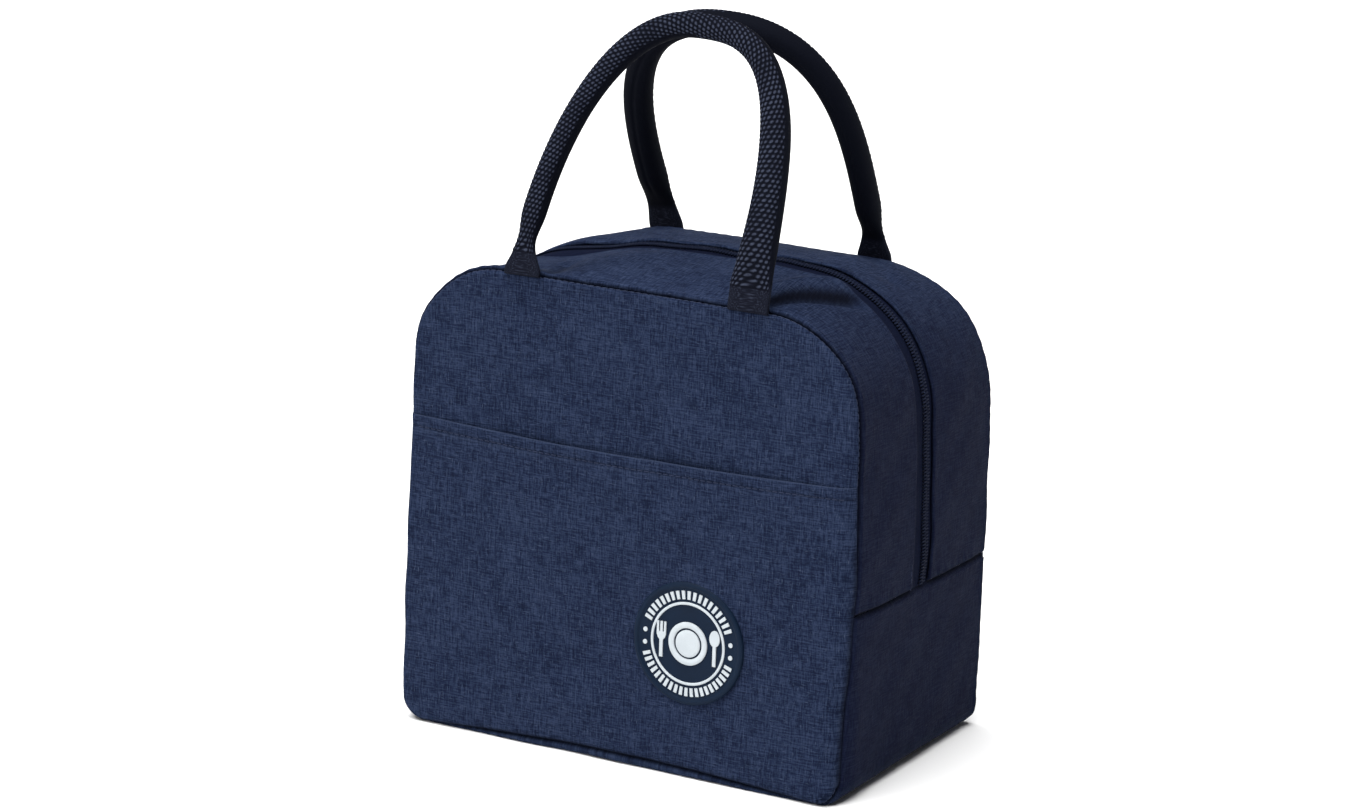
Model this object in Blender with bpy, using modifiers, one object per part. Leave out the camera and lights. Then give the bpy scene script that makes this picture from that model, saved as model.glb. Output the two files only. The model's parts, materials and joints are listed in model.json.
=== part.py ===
"""Insulated soft lunch bag: sewn cloth shell, zipped arched mouth, two webbing handles.

Metres, +Z up. X runs along the width, the front with the pocket faces -Y, and the
origin lies on the floor under the middle of the bag.
"""
import math

import bmesh
import bpy
from mathutils import Matrix, Vector

MM = 0.001

# Driving dimensions
WIDTH = 220 * MM
DEPTH = 136 * MM
FRONT_TOP = 216 * MM
ZIP_TOP = 220.5 * MM
REAR_TOP = 209.5 * MM
FRONT_RADIUS = 44 * MM
ZIP_RADIUS = 60 * MM
REAR_RADIUS = 60 * MM
BOTTOM_RADIUS = 11 * MM
SIDE_SEAM_Z = 83 * MM
FOLD_Z = 90 * MM
GAP = 0.3 * MM

CLOTH = 1.2 * MM
FOAM = 3.0 * MM
POCKET_CLOTH = 1.0 * MM
POCKET_TOP_Z = 143.5 * MM
HEM_HEIGHT = 7.5 * MM

TAPE_THICKNESS = 0.6 * MM
TAPE_OUTER_Y = 12.0 * MM
GUSSET_EDGE_Y = 7.2 * MM
COIL_INNER_Y = 0.7 * MM
COIL_WIDTH = 2.1 * MM

BADGE_RADIUS = 28 * MM
BADGE_CENTRE = (33 * MM, 60.5 * MM)

HANDLE_HALF_SPAN = 55 * MM
HANDLE_CENTRE_X = {"front": 0.5 * MM, "rear": -5.5 * MM}
HANDLE_STRAIGHT = 45 * MM
HANDLE_ARCH = 73 * MM
HANDLE_LEAN = math.radians(25)
HANDLE_AXIS_OUT = 2.4 * MM
HANDLE_AXIS_UP = 2.0 * MM
HANDLE_SECTION = (5.8 * MM, 6.0 * MM)
HANDLE_FOOT = (10.0 * MM, 1.6 * MM)
WEBBING = 1.5 * MM

# Levels worked out from the driving dimensions
FRONT_FACE = -DEPTH / 2
FOAM_INSET = CLOTH + GAP
INNER_INSET = FOAM_INSET + FOAM
POCKET_OUTER = FRONT_FACE - GAP - POCKET_CLOTH
HEM_OUTER = POCKET_OUTER - GAP - POCKET_CLOTH
FRONT_HINGE = (0.0, HEM_OUTER, FOLD_Z)
REAR_HINGE = (0.0, -FRONT_FACE, FOLD_Z)

CLOTH_NAVY = (0.020, 0.033, 0.086, 1)
FOIL_SILVER = (0.55, 0.56, 0.58, 1)
TRIM_BLACK = (0.010, 0.012, 0.026, 1)
BADGE_NAVY = (0.012, 0.018, 0.052, 1)
BADGE_WHITE = (0.76, 0.80, 0.82, 1)
DARK_METAL = (0.09, 0.09, 0.10, 1)


def clear_scene():
    for obj in list(bpy.data.objects):
        bpy.data.objects.remove(obj, do_unlink=True)


def new_collection(name):
    collection = bpy.data.collections.new(name)
    bpy.context.scene.collection.children.link(collection)
    return collection


clear_scene()
BAG = new_collection("lunch_bag")
CUTTERS = new_collection("lunch_bag_cutters")
CUTTERS.hide_render = True


def give_material(obj, color, roughness, metallic=0.0):
    material = bpy.data.materials.new(obj.name)
    material.use_nodes = True
    shader = material.node_tree.nodes["Principled BSDF"]
    shader.inputs["Base Color"].default_value = color
    shader.inputs["Roughness"].default_value = roughness
    shader.inputs["Metallic"].default_value = metallic
    obj.data.materials.clear()
    obj.data.materials.append(material)


def empty_at(name, location, parent=None):
    """An axis marker; its location is given in world coordinates."""
    marker = bpy.data.objects.new(name, None)
    marker.empty_display_size = 0.02
    BAG.objects.link(marker)
    offset = parent["world"] if parent else (0, 0, 0)
    marker.location = Vector(location) - Vector(offset)
    marker.parent = parent
    marker["world"] = list(location)
    return marker


def place(obj, parent):
    """Parent an object modelled in world coordinates to an axis marker."""
    if parent is None:
        return obj
    obj.parent = parent
    obj.location = obj.location - Vector(parent["world"])
    return obj


# Outlines in the XZ plane --------------------------------------------------------

def corner(cx, cz, radius, start, end, steps):
    """Points of an arc about (cx, cz), angles in degrees."""
    points = []
    for i in range(steps + 1):
        angle = math.radians(start + (end - start) * i / steps)
        points.append((cx + radius * math.cos(angle), cz + radius * math.sin(angle)))
    return points


def profile_at(y):
    """Top height and upper corner radius of the bag's cross-section at depth y."""
    t = min(1.0, abs(y) / (DEPTH / 2))
    top, radius = (FRONT_TOP, FRONT_RADIUS) if y < 0 else (REAR_TOP, REAR_RADIUS)
    return ZIP_TOP + (top - ZIP_TOP) * t, ZIP_RADIUS + (radius - ZIP_RADIUS) * t


def body_outline(inset, y):
    """Closed outline of the bag seen from the front at depth y, moved inwards by inset."""
    height, radius = profile_at(y)
    half = WIDTH / 2 - inset
    top = height - inset
    low = BOTTOM_RADIUS - inset
    high = radius - inset
    points = corner(half - low, inset + low, low, -90, 0, 5)
    points += corner(half - high, top - high, high, 0, 90, 12)
    points += corner(-half + high, top - high, high, 90, 180, 12)
    points += corner(-half + low, inset + low, low, 180, 270, 5)
    return points


def crossing(a, b, level):
    t = (level - a[1]) / (b[1] - a[1])
    return (a[0] + (b[0] - a[0]) * t, level)


def cut_level(points, level, keep_above):
    """Part of a closed outline above or below a horizontal level."""
    kept = []
    for a, b in zip(points, points[1:] + points[:1]):
        a_in = (a[1] >= level) == keep_above
        b_in = (b[1] >= level) == keep_above
        if a_in:
            kept.append(a)
        if a_in != b_in:
            kept.append(crossing(a, b, level))
    return kept


def arch(inset, foot, y):
    """Open path up one side, over the top and down the other, at depth y."""
    height, radius = profile_at(y)
    half = WIDTH / 2 - inset
    top = height - inset
    high = radius - inset
    points = [(half, foot)]
    points += corner(half - high, top - high, high, 0, 90, 12)
    points += corner(-half + high, top - high, high, 90, 180, 12)
    points.append((-half, foot))
    return points


def trough(inset, rim):
    """Open path down one side, under the bag and up the other, ending at height rim."""
    half = WIDTH / 2 - inset
    low = BOTTOM_RADIUS - inset
    points = [(-half, rim)]
    points += corner(-half + low, inset + low, low, 180, 270, 5)
    points += corner(half - low, inset + low, low, -90, 0, 5)
    points.append((half, rim))
    return points


# Solids --------------------------------------------------------------------------

def flat_piece(name, outline, y_low, y_high, parent, color, roughness):
    """A flat outline in the XZ plane, extruded between two Y levels."""
    curve = bpy.data.curves.new(name, "CURVE")
    curve.dimensions = "2D"
    curve.fill_mode = "BOTH"
    curve.extrude = (y_high - y_low) / 2
    spline = curve.splines.new("POLY")
    spline.points.add(len(outline) - 1)
    for point, (x, z) in zip(spline.points, outline):
        point.co = (x, z, 0, 1)
    spline.use_cyclic_u = True
    obj = bpy.data.objects.new(name, curve)
    BAG.objects.link(obj)
    obj.rotation_euler = (math.radians(90), 0, 0)
    obj.location = (0, (y_low + y_high) / 2, 0)
    give_material(obj, color, roughness)
    return place(obj, parent)


def strip_piece(name, path_at, insets, y_range, parent, color, roughness, metallic=0.0):
    """A band lofted along Y; its section follows the bag's profile between two insets."""
    def build(bm):
        rows = []
        for y in y_range:
            outline = path_at(insets[0], y) + path_at(insets[1], y)[::-1]
            rows.append([bm.verts.new((x, y, z)) for x, z in outline])
        first, second = rows
        for i in range(len(first)):
            j = (i + 1) % len(first)
            bm.faces.new((first[i], first[j], second[j], second[i]))
        bm.faces.new(first[::-1])
        bm.faces.new(second)
    return mesh_object(name, build, (0, 0, 0), parent, color, roughness, metallic)


def mesh_object(name, build, location, parent, color, roughness, metallic=0.0):
    mesh = bpy.data.meshes.new(name)
    bm = bmesh.new()
    build(bm)
    bmesh.ops.recalc_face_normals(bm, faces=bm.faces)
    bm.to_mesh(mesh)
    bm.free()
    obj = bpy.data.objects.new(name, mesh)
    BAG.objects.link(obj)
    obj.location = location
    give_material(obj, color, roughness, metallic)
    return place(obj, parent)


def box_builder(size):
    def build(bm):
        bmesh.ops.create_cube(bm, size=1.0)
        bmesh.ops.scale(bm, vec=size, verts=bm.verts)
    return build


def bevel(obj, width, segments=2):
    modifier = obj.modifiers.new("Rounded edges", "BEVEL")
    modifier.width = width
    modifier.segments = segments
    modifier.limit_method = "ANGLE"
    modifier.angle_limit = math.radians(40)


def block(name, low, high, parent, color, roughness, metallic=0.0, rounding=0.0):
    size = [h - l for l, h in zip(low, high)]
    centre = [(h + l) / 2 for l, h in zip(low, high)]
    obj = mesh_object(name, box_builder(size), centre, parent, color, roughness, metallic)
    if rounding:
        bevel(obj, rounding)
    return obj


def disc_builder(radius, depth, segments=64):
    def build(bm):
        bmesh.ops.create_cone(bm, cap_ends=True, segments=segments, radius1=radius,
                              radius2=radius, depth=depth)
        bmesh.ops.rotate(bm, verts=bm.verts, cent=(0, 0, 0),
                         matrix=rotation_x(90))
    return build


def rotation_x(degrees):
    return Matrix.Rotation(math.radians(degrees), 3, "X")


# Axis markers --------------------------------------------------------------------

FRONT = empty_at("front_mouth_axis", FRONT_HINGE)
REAR = empty_at("rear_mouth_axis", REAR_HINGE)


def build_base():
    strip_y = (FRONT_FACE + CLOTH + GAP, -FRONT_FACE - CLOTH - GAP)
    foam_y = (strip_y[0] + FOAM + GAP, strip_y[1] - FOAM - GAP)
    strip_piece("base_strip", lambda d, y: trough(d, SIDE_SEAM_Z), (0, CLOTH), strip_y,
                None, CLOTH_NAVY, 0.9)
    strip_piece("base_insulation", lambda d, y: trough(d, SIDE_SEAM_Z),
                (FOAM_INSET, INNER_INSET), foam_y, None, FOIL_SILVER, 0.35, 0.6)


def build_wall(prefix, outer_y, side, top_parent):
    """Front or back wall: outer cloth and foam, each in two lengths that meet at the fold."""
    cloth = sorted((outer_y, outer_y + side * CLOTH))
    foam_start = outer_y + side * (CLOTH + GAP)
    foam = sorted((foam_start, foam_start + side * FOAM))
    outline = body_outline(0, outer_y)
    inner = body_outline(FOAM_INSET, outer_y)
    lower = FOLD_Z - GAP / 2
    upper = FOLD_Z + GAP / 2
    flat_piece(prefix + "_panel_lower", cut_level(outline, lower, False), *cloth,
               None, CLOTH_NAVY, 0.9)
    flat_piece(prefix + "_panel_upper", cut_level(outline, upper, True), *cloth,
               top_parent, CLOTH_NAVY, 0.9)
    flat_piece(prefix + "_insulation_lower", cut_level(inner, lower, False), *foam,
               None, FOIL_SILVER, 0.35)
    flat_piece(prefix + "_insulation_upper", cut_level(inner, upper, True), *foam,
               top_parent, FOIL_SILVER, 0.35)


def build_pocket():
    outline = cut_level(body_outline(0.8 * MM, FRONT_FACE), POCKET_TOP_Z, False)
    y_range = (POCKET_OUTER, POCKET_OUTER + POCKET_CLOTH)
    flat_piece("pocket_panel_lower", cut_level(outline, FOLD_Z - GAP / 2, False),
               *y_range, None, CLOTH_NAVY, 0.9)
    flat_piece("pocket_panel_upper", cut_level(outline, FOLD_Z + GAP / 2, True),
               *y_range, FRONT, CLOTH_NAVY, 0.9)
    hem = cut_level(body_outline(1.6 * MM, FRONT_FACE), POCKET_TOP_Z, False)
    hem = cut_level(hem, POCKET_TOP_Z - HEM_HEIGHT, True)
    flat_piece("pocket_hem", hem, HEM_OUTER, HEM_OUTER + POCKET_CLOTH,
               FRONT, CLOTH_NAVY, 0.9)


def build_mouth_half(prefix, side, parent):
    """One half of the arched mouth: cloth gusset, its foam, the zip tape and its coil."""
    wall = -FRONT_FACE - CLOTH - GAP

    def span(a, b):
        return tuple(sorted((side * a, side * b)))

    foot = SIDE_SEAM_Z + GAP
    strip_piece(prefix + "_gusset", lambda d, y: arch(d, foot, y), (0, CLOTH),
                span(wall, GUSSET_EDGE_Y), parent, CLOTH_NAVY, 0.9)
    strip_piece(prefix + "_gusset_insulation", lambda d, y: arch(d, foot, y),
                (FOAM_INSET, INNER_INSET), span(wall - FOAM - GAP, TAPE_OUTER_Y + GAP),
                parent, FOIL_SILVER, 0.35, 0.6)
    tape_top = CLOTH + GAP
    strip_piece(prefix + "_zip_tape", lambda d, y: arch(d, foot, y),
                (tape_top, tape_top + TAPE_THICKNESS), span(TAPE_OUTER_Y, COIL_INNER_Y + GAP),
                parent, TRIM_BLACK, 0.85)
    strip_piece(prefix + "_zip_coil", lambda d, y: arch(d, foot, y), (0.1 * MM, CLOTH),
                span(COIL_INNER_Y + COIL_WIDTH, COIL_INNER_Y), parent, TRIM_BLACK, 0.45)


# Handles -------------------------------------------------------------------------

def handle_path(height_start):
    """Points (x, h) of the loop in its own plane, h measured from the hinge."""
    points = []
    straight_steps = 7
    for i in range(straight_steps):
        h = height_start + (HANDLE_STRAIGHT - height_start) * i / straight_steps
        points.append((-HANDLE_HALF_SPAN, h))
    arch_steps = 24
    for i in range(arch_steps + 1):
        angle = math.pi * (1 - i / arch_steps)
        points.append((HANDLE_HALF_SPAN * math.cos(angle),
                       HANDLE_STRAIGHT + HANDLE_ARCH * math.sin(angle)))
    points += [(-x, h) for x, h in points[:straight_steps][::-1]]
    return points


def smooth(t):
    t = min(1.0, max(0.0, t))
    return t * t * (3 - 2 * t)


def webbing_ring(count):
    """Unit C-section as (angle, is_outer) pairs; the slit faces the loop's outside."""
    half_slit = math.radians(12)
    angles = [half_slit + (2 * math.pi - 2 * half_slit) * i / count for i in range(count + 1)]
    return [(a, True) for a in angles] + [(a, False) for a in angles[::-1]]


def handle_frames(points):
    """Position and in-plane outward direction at each station of the loop."""
    frames = []
    for i, (x, h) in enumerate(points):
        before = points[max(i - 1, 0)]
        after = points[min(i + 1, len(points) - 1)]
        along = Vector((after[0] - before[0], after[1] - before[1])).normalized()
        outward = Vector((-along.y, along.x))
        frames.append((x, h, outward))
    return frames


def webbing_builder(side):
    """Folded webbing lofted from flat sewn ends into a round grip."""
    start = 1.5 * MM
    frames = handle_frames(handle_path(start))
    lean = Vector((0, -side * math.sin(HANDLE_LEAN), math.cos(HANDLE_LEAN)))
    normal = Vector((0, side * math.cos(HANDLE_LEAN), math.sin(HANDLE_LEAN)))
    ring = webbing_ring(14)

    def build(bm):
        rows = []
        for x, h, outward in frames:
            grip = smooth((h - 7 * MM) / (18 * MM))
            half_wide = HANDLE_FOOT[0] + (HANDLE_SECTION[0] - HANDLE_FOOT[0]) * grip
            half_thick = HANDLE_FOOT[1] + (HANDLE_SECTION[1] - HANDLE_FOOT[1]) * grip
            wall = 0.9 * MM + (WEBBING - 0.9 * MM) * grip
            row = []
            for angle, is_outer in ring:
                a = half_wide - (0 if is_outer else wall)
                b = half_thick - (0 if is_outer else wall)
                across = outward * (a * math.cos(angle))
                point = Vector((x + across.x, 0, 0)) + lean * (h + across.y)
                point += normal * (b * math.sin(angle))
                row.append(bm.verts.new(point))
            rows.append(row)
        for first, second in zip(rows, rows[1:]):
            for i in range(len(first)):
                j = (i + 1) % len(first)
                bm.faces.new((first[i], first[j], second[j], second[i]))
        bm.faces.new(rows[0][::-1])
        bm.faces.new(rows[-1])
    return build


def handle_core(name, side, parent, hinge):
    """Round filler cord inside the folded webbing."""
    points = [p for p in handle_path(30 * MM)]
    curve = bpy.data.curves.new(name, "CURVE")
    curve.dimensions = "3D"
    curve.bevel_depth = 3.6 * MM
    curve.bevel_resolution = 2
    curve.use_fill_caps = True
    spline = curve.splines.new("POLY")
    spline.points.add(len(points) - 1)
    for point, (x, h) in zip(spline.points, points):
        point.co = (x, -side * h * math.sin(HANDLE_LEAN), h * math.cos(HANDLE_LEAN), 1)
    obj = bpy.data.objects.new(name, curve)
    BAG.objects.link(obj)
    obj.location = hinge
    give_material(obj, TRIM_BLACK, 0.9)
    return place(obj, parent)


def build_handle(prefix, side, parent):
    """side is -1 at the front and +1 at the rear."""
    seam_top = profile_at(side * DEPTH / 2)[0]
    middle = HANDLE_CENTRE_X[prefix]
    hinge = (middle, side * (-FRONT_FACE + HANDLE_AXIS_OUT), seam_top + HANDLE_AXIS_UP)
    axis = empty_at(prefix + "_handle_axis", hinge, parent)
    mesh_object(prefix + "_handle_webbing", webbing_builder(side), hinge, axis,
                TRIM_BLACK, 0.9)
    handle_core(prefix + "_handle_core", side, axis, hinge)
    near = side * (-FRONT_FACE + 0.5 * MM)
    far = side * (-FRONT_FACE - 1.7 * MM)
    rest = max(seam_top, profile_at(far)[0]) + GAP
    for label, x in (("left", middle - HANDLE_HALF_SPAN), ("right", middle + HANDLE_HALF_SPAN)):
        block(prefix + "_handle_tab_" + label,
              (x - HANDLE_FOOT[0], min(near, far), rest),
              (x + HANDLE_FOOT[0], max(near, far), rest + 1.3 * MM),
              parent, TRIM_BLACK, 0.9, rounding=0.4 * MM)


# Badge ---------------------------------------------------------------------------

def ring_builder(outer, inner, depth, segments=64):
    def build(bm):
        rows = []
        for radius, y in ((outer, -depth / 2), (outer, depth / 2),
                          (inner, depth / 2), (inner, -depth / 2)):
            row = []
            for i in range(segments):
                angle = 2 * math.pi * i / segments
                row.append(bm.verts.new((radius * math.cos(angle), y,
                                         radius * math.sin(angle))))
            rows.append(row)
        for k in range(4):
            first, second = rows[k], rows[(k + 1) % 4]
            for i in range(segments):
                j = (i + 1) % segments
                bm.faces.new((first[i], first[j], second[j], second[i]))
    return build


def build_badge():
    """Round rubber patch with a plain raised rim and a plate, fork and spoon."""
    back = POCKET_OUTER - GAP
    x, z = BADGE_CENTRE
    disc = mesh_object("badge_disc", disc_builder(BADGE_RADIUS, 1.2 * MM),
                       (x, back - 0.6 * MM, z), None, BADGE_NAVY, 0.55)
    bevel(disc, 0.3 * MM)
    face = back - 1.2 * MM - GAP
    rim_y = face - 0.3 * MM
    mesh_object("badge_rim", ring_builder(27.4 * MM, 25.6 * MM, 0.6 * MM),
                (x, rim_y, z), None, BADGE_NAVY, 0.55)
    mesh_object("badge_ring", ring_builder(18.9 * MM, 17.7 * MM, 0.5 * MM),
                (x, face - 0.25 * MM, z), None, BADGE_WHITE, 0.5)
    mesh_object("badge_plate", disc_builder(8.0 * MM, 0.5 * MM),
                (x, face - 0.25 * MM, z), None, BADGE_WHITE, 0.5)
    flat_piece("badge_fork", fork_outline(x - 12 * MM, z), face - 0.5 * MM, face,
               None, BADGE_WHITE, 0.5)
    flat_piece("badge_spoon", spoon_outline(x + 12 * MM, z), face - 0.5 * MM, face,
               None, BADGE_WHITE, 0.5)


def fork_outline(x, z):
    """Fork with three square tines, drawn about its own centre line."""
    half = [(0.55, -7.5), (0.55, 0.5), (1.9, 1.6), (1.9, 7.0), (1.2, 7.0), (1.2, 2.8),
            (0.35, 2.8), (0.35, 7.0)]
    right = [(x + a * MM, z + b * MM) for a, b in half]
    left = [(x - a * MM, z + b * MM) for a, b in half[::-1]]
    return right + left


def spoon_outline(x, z):
    """Spoon with an oval bowl above a narrow handle."""
    points = [(x - 0.55 * MM, z - 7.5 * MM), (x + 0.55 * MM, z - 7.5 * MM)]
    for i in range(17):
        angle = math.radians(-76 + 332 * i / 16)
        points.append((x + 2.3 * MM * math.cos(angle), z + 4.0 * MM + 3.3 * MM * math.sin(angle)))
    return points


# Zip slider and puller -------------------------------------------------------------

SLIDER_LOW = 87 * MM
SLIDER_HIGH = 98 * MM
PIN_INSET = -2.7 * MM
PIN_Z = 94.5 * MM


def side_x(inset):
    """World X on the left side at a given inset from the outer outline."""
    return -WIDTH / 2 + inset


def build_slider():
    """Two plates joined by a thin neck between the coils, with ears and a cross pin."""
    top = (side_x(-1.3 * MM), side_x(-GAP))
    under = (side_x(2.4 * MM), side_x(3.4 * MM))
    centre = (side_x(0), 0, (SLIDER_LOW + SLIDER_HIGH) / 2)
    axis = empty_at("zip_slide_axis", centre, FRONT)
    slider = block("zip_slider", (top[0], -4.0 * MM, SLIDER_LOW),
                   (top[1], 4.0 * MM, SLIDER_HIGH), axis, DARK_METAL, 0.4, 0.8)
    neck = ((top[1] - 0.4 * MM, -0.4 * MM, SLIDER_LOW + 0.5 * MM),
            (under[0] + 0.4 * MM, 0.4 * MM, SLIDER_LOW + 4 * MM))
    lower_plate = ((under[0], -4.0 * MM, SLIDER_LOW), (under[1], 4.0 * MM, SLIDER_HIGH))
    pieces = [neck, lower_plate]
    for sign in (-1, 1):
        ys = sorted((sign * 2.1 * MM, sign * 3.1 * MM))
        pieces.append(((side_x(-3.5 * MM), ys[0], PIN_Z - 1.3 * MM),
                       (top[0] + 0.4 * MM, ys[1], PIN_Z + 1.3 * MM)))
    for i, (low, high) in enumerate(pieces):
        join_block(slider, "slider_piece_%d" % i, low, high)
    join_pin(slider)
    puller_axis = empty_at("zip_puller_axis", (side_x(PIN_INSET), 0, PIN_Z), axis)
    build_puller(puller_axis)


def as_tool(tool, target, operation):
    for collection in list(tool.users_collection):
        collection.objects.unlink(tool)
    CUTTERS.objects.link(tool)
    tool.display_type = "WIRE"
    tool.hide_render = True
    modifier = target.modifiers.new(tool.name, "BOOLEAN")
    modifier.operation = operation
    modifier.object = tool


def join_block(target, name, low, high):
    size = [h - l for l, h in zip(low, high)]
    centre = [(h + l) / 2 for l, h in zip(low, high)]
    tool = mesh_object(name, box_builder(size), centre, None, DARK_METAL, 0.4, 0.8)
    as_tool(tool, target, "UNION")


def cylinder_y(radius, length, segments):
    def build(bm):
        bmesh.ops.create_cone(bm, cap_ends=True, segments=segments, radius1=radius,
                              radius2=radius, depth=length)
        bmesh.ops.rotate(bm, verts=bm.verts, cent=(0, 0, 0), matrix=rotation_x(90))
    return build


def join_pin(target):
    tool = mesh_object("slider_pin", cylinder_y(0.5 * MM, 5.2 * MM, 16),
                       (side_x(PIN_INSET), 0, PIN_Z), None, DARK_METAL, 0.4, 0.8)
    as_tool(tool, target, "UNION")


def build_puller(axis):
    """Pull tab hanging from the cross pin: a drilled knuckle with a flat blade below."""
    x = side_x(PIN_INSET)
    puller = block("zip_puller", (x - 0.55 * MM, -3.2 * MM, PIN_Z - 27 * MM),
                   (x + 0.55 * MM, 3.2 * MM, PIN_Z - 4.6 * MM), axis, DARK_METAL, 0.4, 0.8,
                   rounding=0.25 * MM)
    join_block(puller, "puller_neck", (x - 0.5 * MM, -1.6 * MM, PIN_Z - 6 * MM),
               (x + 0.5 * MM, 1.6 * MM, PIN_Z - 0.9 * MM))
    knuckle = mesh_object("puller_knuckle", cylinder_y(1.3 * MM, 3.4 * MM, 24),
                          (x, 0, PIN_Z), None, DARK_METAL, 0.4, 0.8)
    as_tool(knuckle, puller, "UNION")
    hole = mesh_object("puller_hole", cylinder_y(0.8 * MM, 5.0 * MM, 24),
                       (x, 0, PIN_Z), None, DARK_METAL, 0.4, 0.8)
    as_tool(hole, puller, "DIFFERENCE")


build_base()
build_wall("front", FRONT_FACE, 1, FRONT)
build_wall("back", -FRONT_FACE, -1, REAR)
build_pocket()
build_mouth_half("front", -1, FRONT)
build_mouth_half("rear", 1, REAR)
build_handle("front", -1, FRONT)
build_handle("rear", 1, REAR)
build_badge()
build_slider()
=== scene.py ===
"""Looks of a soft insulated lunch bag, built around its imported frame.

Lengths are worked out in millimetres and turned into metres when a mesh is made.
"""
import json
import math
from collections import namedtuple

import bpy
import numpy as np
from mathutils import Matrix, Vector


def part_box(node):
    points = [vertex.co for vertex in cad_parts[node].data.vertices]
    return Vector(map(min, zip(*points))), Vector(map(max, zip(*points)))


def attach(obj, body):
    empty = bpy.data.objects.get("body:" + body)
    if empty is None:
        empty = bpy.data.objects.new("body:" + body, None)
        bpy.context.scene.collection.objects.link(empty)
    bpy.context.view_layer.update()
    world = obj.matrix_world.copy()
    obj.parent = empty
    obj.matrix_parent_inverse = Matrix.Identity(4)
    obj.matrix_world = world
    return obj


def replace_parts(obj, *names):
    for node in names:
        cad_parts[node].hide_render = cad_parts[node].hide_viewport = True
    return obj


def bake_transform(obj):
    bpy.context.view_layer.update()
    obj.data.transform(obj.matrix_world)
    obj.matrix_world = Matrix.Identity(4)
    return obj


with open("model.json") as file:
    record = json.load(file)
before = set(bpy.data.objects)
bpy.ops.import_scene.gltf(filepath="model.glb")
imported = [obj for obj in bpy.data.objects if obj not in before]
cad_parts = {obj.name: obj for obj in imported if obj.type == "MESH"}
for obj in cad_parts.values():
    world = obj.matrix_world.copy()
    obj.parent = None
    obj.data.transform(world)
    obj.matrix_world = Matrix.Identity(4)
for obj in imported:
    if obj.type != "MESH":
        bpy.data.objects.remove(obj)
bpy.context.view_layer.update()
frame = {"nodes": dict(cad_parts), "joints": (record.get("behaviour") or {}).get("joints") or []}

MM = 0.001


def link(obj):
    bpy.context.scene.collection.objects.link(obj)
    return obj


# ---- Sizes: from the frame, or chosen where it holds none

def node_box(name):
    low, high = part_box(name)
    return np.array(low) / MM, np.array(high) / MM


BASE_HIGH = node_box("base_strip")[1]
HALF_W = BASE_HIGH[0]
HALF_D = -node_box("front_panel_lower")[0][1]
SEAM_Z = BASE_HIGH[2]
FRONT_TOP = node_box("front_panel_upper")[1][2]
REAR_TOP = node_box("back_panel_upper")[1][2]
ZIP_TOP = node_box("front_zip_coil")[1][2] + 0.1
FRONT_R, ZIP_R, REAR_R = 44.0, 60.0, 60.0
BOTTOM_R = 11.0
POCKET_TOP = node_box("pocket_hem")[1][2]
BADGE_LOW, BADGE_HIGH = node_box("badge_disc")
BADGE_SHIFT_X, BADGE_SHIFT_Z, BADGE_NARROW = 0.6, 1.7, 0.965
BADGE_X = (BADGE_LOW[0] + BADGE_HIGH[0]) / 2 + BADGE_SHIFT_X
BADGE_Z = (BADGE_LOW[2] + BADGE_HIGH[2]) / 2 + BADGE_SHIFT_Z
BADGE_R = (BADGE_HIGH[0] - BADGE_LOW[0]) / 2
JOINTS = {j["name"]: j for j in frame["joints"]}
# Both halves of the bag: prefix of the names, side in y, and body at the mouth.
HALVES = (("front", -1, "front_top"), ("rear", 1, "rear_top"))


# ---- Camera

CAMERA_PLACE = (0.995, -1.906, 0.7441)
CAMERA_ANGLES = (27.884, 15.516, 1.854)
CAMERA_LENS, CAMERA_SHIFT = 133.14, 0.0009


def make_camera():
    """Camera placed in metres and turned by azimuth, elevation and roll in degrees."""
    azimuth, elevation, roll = (math.radians(angle) for angle in CAMERA_ANGLES)
    data = bpy.data.cameras.new("camera")
    data.lens = CAMERA_LENS
    data.sensor_width = 36
    data.clip_end = 100
    data.shift_y = CAMERA_SHIFT
    camera = link(bpy.data.objects.new("camera", data))
    turn = Matrix.Rotation(azimuth, 4, "Z") @ Matrix.Rotation(math.pi / 2 - elevation, 4, "X")
    camera.matrix_world = Matrix.Translation(CAMERA_PLACE) @ turn @ Matrix.Rotation(roll, 4, "Z")
    bpy.context.scene.camera = camera


make_camera()


# ---- Materials

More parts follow.
